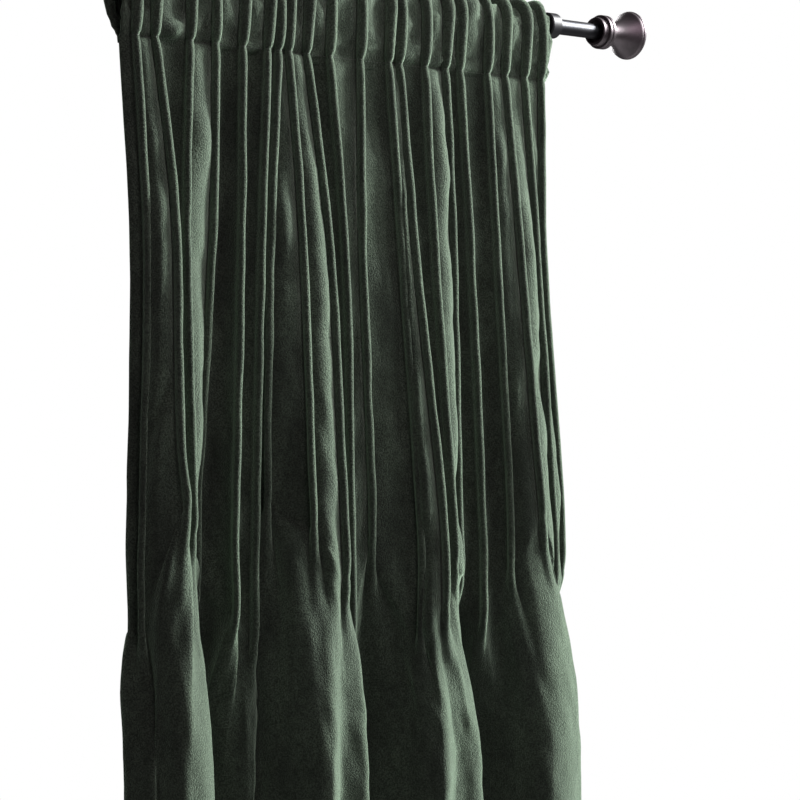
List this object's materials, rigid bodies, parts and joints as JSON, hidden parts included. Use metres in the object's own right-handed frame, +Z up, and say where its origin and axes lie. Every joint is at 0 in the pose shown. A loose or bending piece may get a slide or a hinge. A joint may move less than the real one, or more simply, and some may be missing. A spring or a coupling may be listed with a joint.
{
  "type": "velvet curtain panel on a curtain rod",
  "caption": "Rod pocket curtain panel of dark green velvet with long sewn tucks that open into deep loose folds, hanging on a slim black rod with trumpet finials and wall brackets.",
  "frame": {"origin": "middle of the right-hand wall plate's back face, at the height of the rod's axis", "axes": "+X along the rod to the right as seen from the room, +Y into the wall, +Z up"},
  "size_m": [0.893, 0.1598, 2.146],
  "materials": {
    "velvet": "dark green cut-pile cotton velvet",
    "black_metal": "black satin lacquer"
  },
  "bodies": {
    "root": {"curtain_panel": "velvet", "curtain_rod": "black_metal", "rod_ring_right": "black_metal", "rod_ring_left": "black_metal", "wall_plate_right": "black_metal", "wall_plate_left": "black_metal", "finial_right": "black_metal", "finial_left": "black_metal"}
  },
  "joints": []
}
